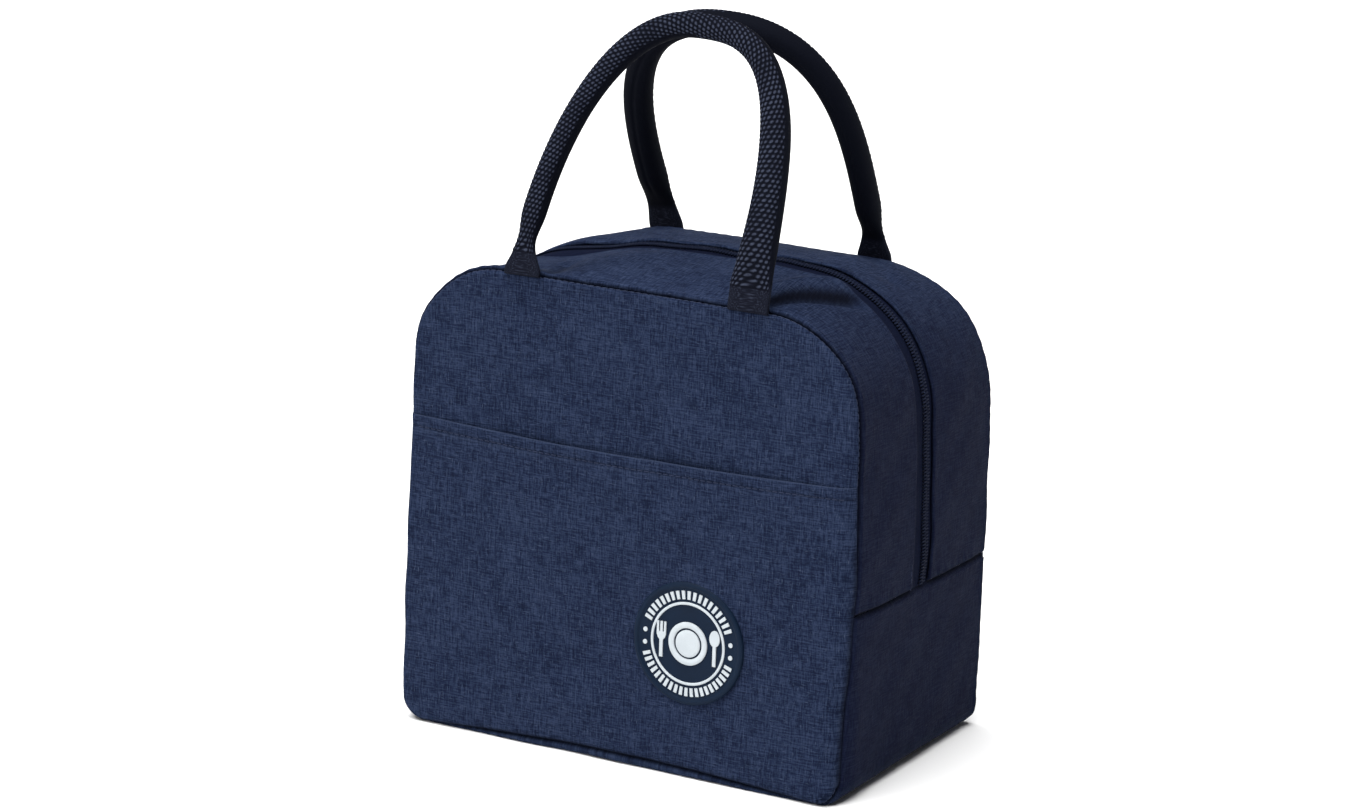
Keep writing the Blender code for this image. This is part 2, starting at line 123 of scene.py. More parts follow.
class Nodes:
    """Short way to add and join shader nodes."""

    def __init__(self, name):
        self.material = bpy.data.materials.new(name)
        self.material.use_nodes = True
        self.tree = self.material.node_tree
        self.shader = self.tree.nodes["Principled BSDF"]

    def add(self, kind, inputs=(), **settings):
        node = self.tree.nodes.new(kind)
        for key, value in settings.items():
            setattr(node, key, value)
        for key, value in dict(inputs).items():
            self.feed(node.inputs[key], value)
        return node

    def feed(self, socket, value):
        if isinstance(value, bpy.types.NodeSocket):
            self.tree.links.new(value, socket)
        else:
            socket.default_value = value

    def math(self, operation, a, b=0.0, clamp=False):
        return self.add("ShaderNodeMath", {0: a, 1: b}, operation=operation,
                        use_clamp=clamp).outputs[0]

    def plus(self, a, b, clamp=False):
        return self.math("ADD", a, b, clamp)

    def minus(self, a, b, clamp=False):
        return self.math("SUBTRACT", a, b, clamp)

    def times(self, a, b, clamp=False):
        return self.math("MULTIPLY", a, b, clamp)

    def attribute(self, name):
        return self.add("ShaderNodeAttribute", attribute_name=name).outputs["Fac"]

    def uv_parts(self):
        """The two surface coordinates apart."""
        source = self.add("ShaderNodeUVMap", uv_map="Weave").outputs[0]
        return self.add("ShaderNodeSeparateXYZ", {0: source}).outputs[:2]

    def place(self):
        return self.add("ShaderNodeTexCoord").outputs["Object"]

    def noise(self, vector, scale, detail=2.0, rough=0.5):
        return self.add("ShaderNodeTexNoise", {"Vector": vector, "Scale": scale,
                                               "Detail": detail, "Roughness": rough}).outputs[0]

    def speckle(self, scale_u, scale_v, detail=2.0, rough=0.5):
        """Noise across the surface coordinates, in grains per millimetre each way."""
        source = self.add("ShaderNodeUVMap", uv_map="Weave").outputs[0]
        scaled = self.add("ShaderNodeMapping", {"Vector": source, "Scale": (scale_u, scale_v, 1)})
        return self.noise(scaled.outputs[0], 1.0, detail, rough)

    def ramp(self, factor, stops):
        node = self.add("ShaderNodeValToRGB", {0: factor})
        elements = node.color_ramp.elements
        while len(elements) < len(stops):
            elements.new(0.5)
        for element, (place, color) in zip(elements, stops):
            element.position = place
            element.color = (*color, 1)
        return node.outputs[0]

    def mix(self, factor, a, b):
        node = self.add("ShaderNodeMix", data_type="RGBA")
        for key, value in (("Factor", factor), (6, a), (7, b)):
            self.feed(node.inputs[key], value)
        return node.outputs[2]

    def bump(self, height, distance, strength=1.0):
        node = self.add("ShaderNodeBump", {"Height": height, "Distance": distance * MM,
                                           "Strength": strength})
        self.feed(self.shader.inputs["Normal"], node.outputs[0])

    def set(self, **values):
        names = {"color": "Base Color", "rough": "Roughness", "metal": "Metallic",
                 "sheen": "Sheen Weight", "sheen_rough": "Sheen Roughness",
                 "specular": "Specular IOR Level"}
        for key, value in values.items():
            self.feed(self.shader.inputs[names[key]], value)


def weave_height(n, pitch_u, pitch_v):
    """Over and under of a plain weave with the given thread spacing."""
    u, v = n.uv_parts()
    across = n.math("SINE", n.times(u, math.tau / pitch_u))
    along = n.math("SINE", n.times(v, math.tau / pitch_v))
    return n.times(across, along)


def cloth_material(name, dark, middle, light, fleck_and_highlight):
    """Heathered polyester: dark and light slubs both ways, with sparse bright flecks."""
    n = Nodes(name)
    warp = n.speckle(1.35, 0.12, 2.0, 0.6)
    weft = n.speckle(0.11, 1.45, 2.0, 0.6)
    fine_warp = n.speckle(2.6, 0.42, 1.0)
    fine_weft = n.speckle(0.42, 2.6, 1.0)
    patch = n.speckle(0.15, 0.06, 3.0, 0.6)
    mottle = n.speckle(0.03, 0.035, 2.0, 0.5)
    slubs = n.minus(n.plus(warp, weft), 1.0)
    fine = n.minus(n.plus(fine_warp, fine_weft), 1.0)
    broad = n.minus(n.plus(patch, mottle), 1.0)
    mixed = n.plus(n.times(slubs, 1.55), n.times(fine, 0.8))
    mixed = n.plus(mixed, n.times(broad, 0.40))
    level = n.plus(mixed, 0.5, clamp=True)
    flecks = n.math("MAXIMUM", n.speckle(1.9, 0.30, 1.0), n.speckle(0.30, 2.0, 1.0))
    flecks = n.times(n.minus(flecks, 0.65), 8.0, clamp=True)
    color = n.ramp(level, ((0.16, dark), (0.5, middle), (0.88, light)))
    color = n.mix(flecks, color, (*fleck_and_highlight, 1))
    # Painted highlight: the lit top edge of the pocket hem and a lit line under its stitches, in the
    # fleck colour.
    color = n.mix(n.attribute("PaintedHighlight"), color, (*fleck_and_highlight, 1))
    # Painted shade: cloth facing left or right is mixed towards a darker tint of its middle colour.
    color = n.mix(n.attribute("SideShade"), color, (0.22 * middle[0], 0.19 * middle[1], 0.32 * middle[2], 1))
    # Painted shade down in seams, fold creases, the hem stitches and the tucked hem.
    color = n.mix(n.times(n.attribute("Shade"), 0.8), color, (0.002, 0.003, 0.008, 1))
    height = n.plus(n.times(weave_height(n, 0.62, 0.62), 0.3),
                    n.plus(n.times(mixed, 1.1), flecks))
    n.set(color=color, specular=0.05, rough=n.minus(0.95, n.times(level, 0.12)))
    n.bump(height, 0.17, 0.8)
    return n.material


def webbing_material(name, gap, low, high):
    """Pebbled webbing: staggered bright knots on dark gaps where the Woven attribute is 1."""
    n = Nodes(name)
    woven = n.attribute("Woven")
    u, v = n.uv_parts()
    row = n.math("FLOOR", u)
    a = n.minus(n.math("FRACT", u), 0.5)
    odd = n.times(n.math("FLOORED_MODULO", row, 2.0), 0.5)
    b = n.minus(n.math("FRACT", n.plus(v, odd)), 0.5)
    square = n.plus(n.times(a, a), n.times(b, b))
    square = n.minus(square, n.times(n.times(a, b), 0.75))
    knot = n.minus(1.0, n.times(square, 4.6), clamp=True)
    speck = n.speckle(3.1, 3.1, 2.0)
    wear_and_highlight = n.speckle(0.13, 0.22, 3.0)
    level = n.times(n.times(knot, woven), n.plus(speck, 0.45))
    level = n.times(level, n.plus(n.times(wear_and_highlight, 1.1), 0.4))
    plain = n.times(n.minus(1.0, woven), n.attribute("Foot"))
    speck_share = n.plus(n.times(plain, 0.85), 0.16)
    level = n.plus(level, n.times(speck, speck_share), clamp=True)
    color = n.ramp(level, ((0.1, gap), (0.5, low), (0.95, high)))
    height = n.plus(n.times(n.times(knot, woven), 2.2), speck)
    n.set(color=color, specular=0.05, rough=n.minus(0.9, n.times(level, 0.2)))
    n.bump(height, 0.12, 0.7)
    return n.material


def tape_material(name, dark, light):
    """Zip tape: narrow ribs along the tape."""
    n = Nodes(name)
    ribs = weave_height(n, 0.9, 0.55)
    speck = n.speckle(1.2, 1.2, 2.0)
    color = n.ramp(speck, ((0.3, dark), (0.75, light)))
    n.set(color=color, rough=0.9, specular=0.04)
    n.bump(n.plus(ribs, speck), 0.08, 0.7)
    return n.material


def moulded_material(name, low, high, rough, grain=0.5, gloss=0.4):
    """Moulded rubber or plastic: faint mottling, fine grain and a varied gloss."""
    n = Nodes(name)
    place = n.place()
    mottle = n.noise(place, 120.0, 3.0)
    fine = n.noise(place, 2600.0, 2.0)
    color = n.ramp(n.plus(n.times(mottle, 0.6), n.times(fine, 0.4)),
                   ((0.3, low), (0.7, high)))
    n.set(color=color, rough=n.plus(rough - 0.1, n.times(mottle, 0.2)), specular=gloss)
    n.bump(fine, 0.04 * grain, 0.6)
    return n.material


def metal_material(name, low, high):
    """Coated metal with worn patches and fine scratches."""
    n = Nodes(name)
    place = n.place()
    wear_and_highlight = n.noise(place, 380.0, 4.0, 0.6)
    lengthwise = n.add("ShaderNodeMapping", {"Vector": place, "Scale": (1, 1, 0.08)}).outputs[0]
    scratch = n.noise(lengthwise, 5200.0, 2.0)
    color = n.ramp(wear_and_highlight, ((0.35, low), (0.7, high)))
    n.set(color=color, metal=0.9, rough=n.plus(0.26, n.times(wear_and_highlight, 0.22)))
    n.bump(scratch, 0.02, 0.5)
    return n.material


def foil_material(name):
    """Silver insulating foil: soft crinkles over foam."""
    n = Nodes(name)
    wide = n.speckle(0.06, 0.06, 4.0, 0.6)
    fine = n.speckle(0.55, 0.55, 3.0, 0.6)
    color = n.ramp(wide, ((0.3, (0.42, 0.43, 0.45)), (0.7, (0.66, 0.67, 0.69))))
    n.set(color=color, metal=0.75, rough=n.plus(0.26, n.times(fine, 0.22)))
    n.bump(n.plus(n.times(wide, 3.0), fine), 0.7, 0.55)
    return n.material


CLOTH = cloth_material("navy_heather", (0.0048, 0.0083, 0.0228), (0.0110, 0.0182, 0.0437),
                       (0.0222, 0.0332, 0.0690), (0.038, 0.053, 0.096))
WEBBING = webbing_material("pebbled_webbing", (0.0020, 0.0027, 0.0060), (0.0040, 0.0050, 0.0105),
                           (0.032, 0.0385, 0.062))
TAPE = tape_material("zip_tape", (0.0024, 0.0040, 0.0125), (0.0047, 0.0070, 0.0205))
COIL = moulded_material("zip_coil", (0.0045, 0.0068, 0.0180), (0.0090, 0.0128, 0.0290), 0.7, 0.5, 0.05)
RUBBER = moulded_material("badge_rubber", (0.0015, 0.0070, 0.0200), (0.0028, 0.0105, 0.0270), 0.6, 0.5,
                          0.10)
WHITE = moulded_material("badge_white", (0.40, 0.44, 0.47), (0.47, 0.51, 0.54), 0.55, 0.5, 0.3)
THREAD = moulded_material("thread", (0.011, 0.017, 0.040), (0.024, 0.034, 0.072), 0.7, 0.5, 0.15)
METAL = metal_material("gunmetal", (0.05, 0.05, 0.055), (0.16, 0.16, 0.17))
FOIL = foil_material("silver_foil")


# ---- Mesh helpers

def grid_faces(rows, columns, wrap=False):
    index = np.arange(rows * columns).reshape(rows, columns)
    if wrap:
        index = np.concatenate([index, index[:, :1]], axis=1)
    return np.stack([index[:-1, :-1], index[:-1, 1:], index[1:, 1:], index[1:, :-1]],
                    axis=-1).reshape(-1, 4)


def make_piece(name, points, faces, material, uv=None, flip=False, attributes=None):
    """A smooth shaded mesh from millimetre points, with its weave coordinates."""
    mesh = bpy.data.meshes.new(name)
    faces = [list(f)[::-1] if flip else list(f) for f in faces]
    mesh.from_pydata((np.asarray(points) * MM).tolist(), [], faces)
    if uv is not None:
        layer = mesh.uv_layers.new(name="Weave")
        corners = np.zeros(len(mesh.loops), dtype=np.int32)
        mesh.loops.foreach_get("vertex_index", corners)
        layer.data.foreach_set("uv", np.asarray(uv, dtype=np.float32)[corners].ravel())
    for key, values in (attributes or {}).items():
        attribute = mesh.attributes.new(key, "FLOAT", "POINT")
        attribute.data.foreach_set("value", np.asarray(values, dtype=np.float32).ravel())
    mesh.polygons.foreach_set("use_smooth", [True] * len(mesh.polygons))
    mesh.materials.append(material)
    mesh.update()
    obj = link(bpy.data.objects.new(name, mesh))
    return obj


def smoothstep(t):
    t = np.clip(t, 0, 1)
    return t * t * (3 - 2 * t)


def eased(value, start, length):
    """Smooth step from 0 at the start to 1 after the length, which may be negative."""
    return smoothstep((value - start) / length)


def positive(value):
    return np.maximum(value, 0)


def bell(value, centre, width):
    """Smooth hump of height 1 at the centre."""
    return np.exp(-((value - centre) / width) ** 2)


def xyz(x, y, z):
    return np.stack(np.broadcast_arrays(x, y, z), axis=-1)


def towards(ring, centre, count):
    """Smaller copies of a ring, ending in one centre point."""
    copies = [centre + (ring - centre) * share for share in np.linspace(1, 0, count)[1:-1]]
    return copies + [centre[None]]


def disc_faces(rings, count):
    """Faces of closed rings that end in one centre point."""
    start, tip = (rings - 1) * count, rings * count
    fan = [[start + i, start + (i + 1) % count, tip] for i in range(count)]
    return grid_faces(rings, count, wrap=True).tolist() + fan


def waves(a, b, seed):
    """Gentle seeded undulation between about -1 and 1."""
    rng = np.random.default_rng(seed)
    total = 0
    for _ in range(7):
        ka, kb = rng.uniform(-1, 1, 2) * math.tau / rng.uniform(35, 95)
        total = total + np.sin(ka * a * 1.7 + kb * b * 1.7 + rng.uniform(0, 6.28))
    return total / 3.0


# ---- Shape of the bag
# The outline is a chain of stations. Each holds what its place depends on:
# (x, x per radius, z, z per top, z per radius, z per foot) and its outward normal (x, z).

def profile(y):
    """Height of the top and radius of the upper corners at depth y."""
    y = np.asarray(y, dtype=float)
    t = np.clip(np.abs(y) / HALF_D, 0, 1) ** 1.25
    top = np.where(y < 0, FRONT_TOP, REAR_TOP)
    radius = np.where(y < 0, FRONT_R, REAR_R)
    return ZIP_TOP + (top - ZIP_TOP) * t, ZIP_R + (radius - ZIP_R) * t


def rim_height(y):
    """Height of the side seam, a little lower towards the rear."""
    return SEAM_Z + 1.0 - 2.2 * np.asarray(y, dtype=float) / HALF_D


def side_foot(sign):
    return (sign * HALF_W, 0, 0, 0, 0, 1)


def side_low(sign):
    return (sign * HALF_W, 0, BOTTOM_R, 0, 0, 0)


def side_top(sign):
    return (sign * HALF_W, 0, 0, 1, -1, 0)


def top_end(sign):
    return (sign * HALF_W, -sign, 0, 1, 0, 0)


def floor_at(sign):
    return (sign * (HALF_W - BOTTOM_R), 0, 0, 0, 0, 0)


def straight(a, b, count, normal):
    t = np.linspace(0, 1, count)[:, None]
    return np.hstack([np.array(a) * (1 - t) + np.array(b) * t, np.tile(normal, (count, 1))])


def upper_arc(sign, start, end, count):
    """Upper corner by the angle from the side, 0, to the top, 90."""
    a = np.radians(np.linspace(start, end, count))
    c, s, one, none = np.cos(a), np.sin(a), np.ones(count), np.zeros(count)
    return np.stack([sign * HALF_W * one, sign * (c - 1), none, one, s - 1, none, sign * c, s], axis=1)


def lower_arc(sign, start, end, count):
    """Lower corner by the angle from the side, 0, to the floor, 90."""
    a = np.radians(np.linspace(start, end, count))
    c, s, none = np.cos(a), np.sin(a), np.zeros(count)
    return np.stack([sign * (HALF_W - BOTTOM_R * (1 - c)), none, BOTTOM_R * (1 - s), none, none, none,
                     sign * c, -s], axis=1)


def chain(*pieces):
    return np.concatenate([pieces[0]] + [p[1:] for p in pieces[1:]])


SIDE_RIGHT, SIDE_LEFT, UP, DOWN = (1, 0), (-1, 0), (0, 1), (0, -1)
UPPER = chain(straight(side_foot(1), side_top(1), 48, SIDE_RIGHT), upper_arc(1, 0, 90, 46),
              straight(top_end(1), top_end(-1), 104, UP), upper_arc(-1, 90, 0, 46),
              straight(side_top(-1), side_foot(-1), 48, SIDE_LEFT))
LOWER = chain(straight(side_foot(-1), side_low(-1), 40, SIDE_LEFT), lower_arc(-1, 0, 90, 14),
              straight(floor_at(-1), floor_at(1), 100, DOWN), lower_arc(1, 90, 0, 14),
              straight(side_low(1), side_foot(1), 40, SIDE_RIGHT))
RING = chain(straight(floor_at(0), floor_at(1), 50, DOWN), lower_arc(1, 90, 0, 14),
             straight(side_low(1), side_top(1), 84, SIDE_RIGHT), upper_arc(1, 0, 90, 44),
             straight(top_end(1), top_end(-1), 66, UP), upper_arc(-1, 90, 0, 44),
             straight(side_top(-1), side_low(-1), 84, SIDE_LEFT), lower_arc(-1, 0, 90, 14),
             straight(floor_at(-1), floor_at(0), 50, DOWN))[:-1]


def outline(stations, y):
    """Points (x, z), normals and running length of a chain at depth y."""
    top, radius = profile(y)
    c = stations
    x = c[:, 0] + c[:, 1] * radius
    z = c[:, 2] + c[:, 3] * top + c[:, 4] * radius + c[:, 5] * rim_height(y)
    step = np.hypot(np.diff(x), np.diff(z))
    return np.stack([x, z], axis=1), c[:, 6:8], np.concatenate([[0], np.cumsum(step)])


def foot_seam(x):
    """How far round its roll the bottom seam lies, in mm: up on the wall at mid span."""
    return -2.3 + 4.2 * np.clip(x / 97, -1, 1) ** 2


SIDE_ROLL, TOP_ROLL, FOOT_ROLL = 2.6, 2.8, 2.2
SIDE_SEAM, TOP_SEAM = math.radians(60), math.radians(48)
# Folds in the top: depth, x and y of both ends, half width. A negative depth is a ridge.
FOLDS = ((3.6, 60, -62, 82, -17, 3.4), (-2.6, 54, -46, 74, -6, 6.5), (1.8, -43, -66, -50, -34, 4.0),
         (1.5, 50, 64, 76, 26, 5.5), (1.3, -66, 64, -84, 28, 5.5))
# Painted shade lines in the two front folds, in the same terms.
CREASES = ((1.35, 58, -58, 80, -14, 2.9), (0.5, -44, -63, -49, -40, 3.0))
CREASE_LOWEST = 190


def side_edge(z, front_right):
    """Roll and seam angle of an upright edge; the front right one widens downwards."""
    low, corner = (bell(np.asarray(z, dtype=float), 0, reach) for reach in (84, 24))
    roll = np.where(front_right, 7.0 + 6.5 * low, SIDE_ROLL)
    return roll, np.where(front_right, np.radians(68 - 29 * low + 10 * corner), SIDE_SEAM)


def edge_shape(points, normals, rear):
    """Radius of the rolled wall edge and how far round the roll its seam lies."""
    side = normals[:, 0] ** 2
    up = positive(normals[:, 1]) ** 2
    down = positive(-normals[:, 1]) ** 2
    side_roll, side_seam = side_edge(points[:, 1], (normals[:, 0] > 0) * (rear < 0.5))
    radius = side_roll * side + TOP_ROLL * up + FOOT_ROLL * down
    foot = foot_seam(points[:, 0]) / FOOT_ROLL
    return radius, side_seam * side + TOP_SEAM * up + foot * down


def hollow(x, y, x0, y0, x1, y1, width):
    """Soft valley of unit depth along the line from (x0, y0) to (x1, y1)."""
    dx, dy = x1 - x0, y1 - y0
    size = math.hypot(dx, dy)
    along = ((x - x0) * dx + (y - y0) * dy) / size
    across = ((x - x0) * dy - (y - y0) * dx) / size
    ends = eased(along, -6, 12) * eased(along, size + 6, -12)
    return bell(across, 0, width) * ends


def fullness(x, y, z, depth):
    """How far the side walls stand out, less round the slider and its run of zip."""
    low = 1 - eased(z, 80, 70)
    beside_zip = 1 - (1 - low) * (1 - depth ** 2)
    at_zip = (x < 0) * np.exp(-(y / 15) ** 4) * eased(z, 46, 16)
    left = (x < 0) * (1.0 + 1.9 * low) * beside_zip * (1 - at_zip)
    to_rear = 1.2 * eased(y, 0, HALF_D) * (1 - bell(z, 105, 42))
    right = (x > 0) * (2.0 * bell(z, 98, 46) * (1 - 0.55 * depth ** 2) + to_rear)
    belly = 1.1 * np.sin(math.pi * depth) * eased(z, 60, 60)
    ripple = 0.5 * waves(y, z, 3) * (1 - at_zip)
    return left + right + (ripple + belly) * (z > 4)


def top_drop(x, y, depth):
    """How far the top sinks: pillow, loose waves, the hollow at the left and the folds."""
    ridge = (1 - depth ** 1.5) * (1 - 0.25 * eased(y, 3, 10))
    sink = 7.0 * bell(x, -59, 25) + 1.0 * bell(x, 74, 12)
    pillow = 1.6 * np.sin(math.pi * depth) * np.clip(1 - (x / 96) ** 4, 0, 1)
    loose = 0.35 * waves(x * 1.1, y, 8) * (1 - depth ** 3)
    folds = sum(size * hollow(x, y, *line) for size, *line in FOLDS)
    return sink * ridge + folds * (1 - depth ** 8) - pillow - loose


def soften(points):
    """The bag's sag: fuller right side, puffed walls, a sinking top and soft ripples."""
    p = np.array(points, dtype=float)
    x, y, z = (p[..., axis].copy() for axis in range(3))
    depth = np.clip(np.abs(y) / HALF_D, 0, 1)
    across = np.clip(np.abs(x) / HALF_W, 0, 1)
    middle = 1 - across ** 2
    on_top = eased(z, 165, 45)
    corner = bell(x, 93, 24) * bell(z, 192, 22) * eased(y, 0, HALF_D)
    p[..., 0] += np.sign(x) * across ** 3 * fullness(x, y, z, depth) + 1.5 * corner
    left_corner = 1.7 * bell(x, -102, 13) * eased(z, 165, 30) * eased(y, 5, -25)
    dent = 3.4 * bell(x, -66, 21) * eased(y, -5, -6) * eased(y, -66, 18)
    p[..., 2] += 1.9 * corner - left_corner - on_top * (dent + top_drop(x, y, depth))
    puff = 1.6 * bell(z, 100, 62) * middle
    heel = (y < 0) * (0.8 + 1.6 * eased(x, -40, 130)) * bell(z, 0, 26)
    p[..., 1] += np.sign(y) * depth ** 3 * (puff + heel + 0.55 * waves(x, z, 5) * middle)
    return p


SEAM_STEPS = (0, 0.25, 0.5, 0.8, 1.15, 1.6, 2.2, 3.0, 4.0, 5.2, 6.6, 8.2, 9.8)
SEAM_REACH, STRIP_REACH = 9.8, 15.5
FAR = 60.0  # a distance at which nothing of a seam shows


def groove(distance, depth=2.0, width=0.8):
    """Stitched-in valley with the small lip that the cloth rolls up beside it."""
    return depth * bell(distance, 0, width) - 0.25 * bell(distance, 2.2, 1.1)


def seam_shade(distance):
    """How much painted shade darkens the cloth down in a seam, 0 to 1."""
    return bell(distance, 0, 1.0)


def pucker(length, distance, seed):
    """Small ripples that thread tension leaves beside a seam."""
    a, b, c = np.random.default_rng(seed).uniform(0, 6.28, 3)
    ripple = np.sin(length * math.tau / 6.3 + a + 1.5 * np.sin(length / 17 + b))
    ripple = ripple * (0.65 + 0.35 * np.sin(length / 29 + c))
    slow = np.sin(length / 9.5 + c)
    return 0.16 * ripple * bell(distance, 2.8, 2.2) + 0.22 * slow * bell(distance, 7, 5.0)


# ---- Cloth panels

PANEL_RINGS, LINING_RINGS = 56, 30


def panel_surface(side):
    """Front (side -1) or back (+1) panel as rings that follow its sewn edge."""
    face = side * HALF_D
    points, normals, length = outline(RING, face)
    radius, seam = edge_shape(points, normals, side)
    arc = radius * seam
    reach = arc + np.maximum(10.2 - radius, 1.5)
    rows, uvs, shade = [], [], []
    for step in SEAM_STEPS:
        distance = step / SEAM_REACH * reach
        shade.append(seam_shade(distance))
        turn = positive(seam - distance / radius)
        inset = radius * (1 - np.sin(turn)) + positive(distance - arc)
        recede = radius * (1 - np.cos(turn))
        dip = groove(distance) - pucker(length, distance, 11 + side)
        y = side * (HALF_D - recede - np.cos(turn) * dip)
        ring, _, _ = outline(RING, side * (HALF_D - recede))
        flat = ring - normals * (inset + np.sin(turn) * dip)[:, None]
        rows.append(xyz(flat[:, 0], y, flat[:, 1]))
        uvs.append(points - normals * (distance - arc + radius)[:, None])
    rows += towards(rows[-1], np.array([0.0, face, FRONT_TOP * 0.5]), PANEL_RINGS)
    uvs += towards(uvs[-1], np.array([0.0, FRONT_TOP * 0.5]), PANEL_RINGS)
    points, uv = np.concatenate(rows), np.concatenate(uvs)
    shade = np.concatenate(shade)
    shade = np.pad(shade, (0, len(points) - len(shade)))
    return soften(points), disc_faces(len(rows) - 1, len(rows[0])), uv, {"Shade": shade}


def fold(piece, body):
    """Ride on the base, or else have the piece's placement baked into its mesh."""
    if body == "base":
        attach(piece, "base")
    else:
        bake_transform(piece)


def padded_cloth(name, surface, nodes, body, flip=False):
    points, faces, uv, looks = surface
    piece = make_piece(name, points, faces, CLOTH, uv, flip=flip, attributes=looks)
    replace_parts(piece, *nodes)
    fold(piece, body)


def seam_rows(side, stations):
    """Rows of a strip from its wall seam round the roll: (y, inset, distance, width)."""
    points, normals, _ = outline(stations, side * HALF_D)
    radius, seam = edge_shape(points, normals, side)
    arc = radius * (math.pi / 2 - seam)
    reach = arc + STRIP_REACH - radius
    rows = []
    for step in SEAM_STEPS:
        distance = step / SEAM_REACH * reach
        turn = np.clip(seam + distance / radius, 0, math.pi / 2)
        inset = radius * (1 - np.sin(turn)) + positive(-radius * seam - distance)
        recede = radius * (1 - np.cos(turn)) + positive(distance - arc)
        dip = groove(distance)
        rows.append((side * (HALF_D - recede - np.cos(turn) * dip), inset + np.sin(turn) * dip,
                     distance, side * (HALF_D - recede)))
    return rows


def strip_surface(stations, rows, side_seams=True, seed=21):
    """A band swept along a chain of the outline."""
    points, uvs, shade, side_shade = [], [], [], []
    for y, inset, distance, width in rows:
        line, normals, length = outline(stations, y)
        # Painted shade on cloth that faces left or right, by how far its normal points sideways.
        side_shade.append(0.75 * normals[:, 0] ** 2)
        from_end = np.minimum(length, length[-1] - length)
        dip = inset - pucker(length, distance, seed)
        dark = seam_shade(distance + 0 * length)
        crease = sum(size * hollow(line[:, 0], y, *place) for size, *place in CREASES)
        dark = np.maximum(dark, crease * (line[:, 1] > CREASE_LOWEST))
        if side_seams:
            dip = dip + groove(from_end, 1.7, 0.9) - pucker(y + 0 * length, from_end, seed + 1)
            dark = np.maximum(dark, seam_shade(from_end))
        shade.append(dark)
        moved = line - normals * dip[:, None]
        points.append(xyz(moved[:, 0], y, moved[:, 1]))
        uvs.append(np.stack([width + 0 * length, length], axis=1))
    grid = np.array(points)
    faces = grid_faces(*grid.shape[:2]).tolist()
    looks = {"Shade": np.concatenate(shade), "SideShade": np.concatenate(side_shade)}
    return soften(grid).reshape(-1, 3), faces, np.concatenate(uvs), looks


ZIP_MIDDLE = 0.6
FRONT_LIP, REAR_LIP = -11.0, 7.2


def make_gusset(prefix, side, body):
    lip = FRONT_LIP if side < 0 else REAR_LIP
    rows = seam_rows(side, UPPER)
    for y in np.linspace(side * (HALF_D - STRIP_REACH), lip + side * 1.6, 46)[1:]:
        rows.append((y, -0.25 * bell(y, lip, 3.5), FAR, y))
    rolled = ((1.0, -0.2), (0.45, -0.08), (0.12, 0.25), (0.0, 0.7), (0.25, 1.2), (2.5, 1.5))
    for back, inset in rolled:
        rows.append((lip + side * back, inset, FAR, lip - side * inset))
    padded_cloth(prefix + "_gusset_cloth", strip_surface(UPPER, rows), [prefix + "_gusset"], body,
                 flip=side > 0)


def make_base():
    front, rear = seam_rows(-1, LOWER), seam_rows(1, LOWER)
    inner = HALF_D - STRIP_REACH
    rows = front + [(y, 0.0, FAR, y) for y in np.linspace(-inner, inner, 54)[1:-1]] + rear[::-1]
    padded_cloth("base_cloth", strip_surface(LOWER, rows), ["base_strip"], "base")


# ---- Pocket

def pocket_top(x):
    """The mouth of the pocket sags between its side seams and rises to the right."""
    share = (x / HALF_W) ** 2
    return POCKET_TOP - 1.7 + share * (1.9 + 0.9 * np.sign(x)) + 0.3 * np.sin(x / 21.0)


def pocket_slack(x, z):
    """How far the pocket stands off the panel: closest at its sides and bottom."""
    mouth = eased(z, 70, 75)
    side = np.clip(1 - np.abs(x / HALF_W) ** 4, 0, 1)
    gape = 1.6 * bell(x, 28, 45) + 0.9 * bell(x, -55, 30)
    return 0.9 + mouth * side * (0.6 + gape)


def panel_depth(x, z):
    """Recess of the front panel's rolled edge and distance from its seam."""
    over_x, over_z = np.abs(x) - (HALF_W - BOTTOM_R), BOTTOM_R - z
    in_corner = (over_x > 0) & (over_z > 0)
    slope = np.hypot(np.clip(over_x, 1e-6, None), positive(over_z))
    inset = np.where(in_corner, BOTTOM_R - slope, np.minimum(HALF_W - np.abs(x), z))
    side = np.where(in_corner, (over_x / slope) ** 2, (HALF_W - np.abs(x) < z) * 1.0)
    roll, side_seam = side_edge(z, x > 0)
    radius = roll * side + FOOT_ROLL * (1 - side)
    seam = side_seam * side + foot_seam(x) / FOOT_ROLL * (1 - side)
    turn = np.arcsin(np.clip(1 - inset / radius, 0, np.sin(positive(seam))))
    distance = radius * (seam - turn) + positive(inset - radius)
    return radius * (1 - np.cos(turn)), distance


def pocket_point(x, z, out):
    """Depth of the pocket cloth: it follows the panel, standing off by out."""
    recede, distance = panel_depth(x, z)
    edge = bell(distance, 0, 2.2)
    dip = groove(distance, 1.0, 0.8) - pucker(x + z, distance, 31)
    return -HALF_D + recede - out * (1 - 0.75 * edge) + dip


def sewn_bounds(z, sign):
    """Half the pocket's width at a height, out to its side seams."""
    roll, seam = side_edge(z, sign > 0)
    inset = float(roll * (1 - np.sin(seam)))
    low = np.clip(BOTTOM_R - z, 0, BOTTOM_R - inset)
    return HALF_W - BOTTOM_R + math.sqrt((BOTTOM_R - inset) ** 2 - low ** 2)


def sewn_foot(x):
    """Height of the pocket's bottom seam at x."""
    seam = foot_seam(x)
    return FOOT_ROLL * (1 - np.sin(positive(seam / FOOT_ROLL))) + positive(-seam)


HEM_STITCH, HEM_BEND = 5.2, 0.6
POCKET_RIM, POCKET_FOOT, POCKET_SPLIT = 11.0, 11.5, 100.0


EDGE_STEPS = np.array([0, 0.03, 0.06, 0.1, 0.16, 0.24, 0.34, 0.46, 0.6, 0.8, 1.0])
HEM_ROLL = ((0.5, -0.3), (0.75, -0.8), (0.55, -1.25), (-0.8, -1.5), (-9.0, -1.6))


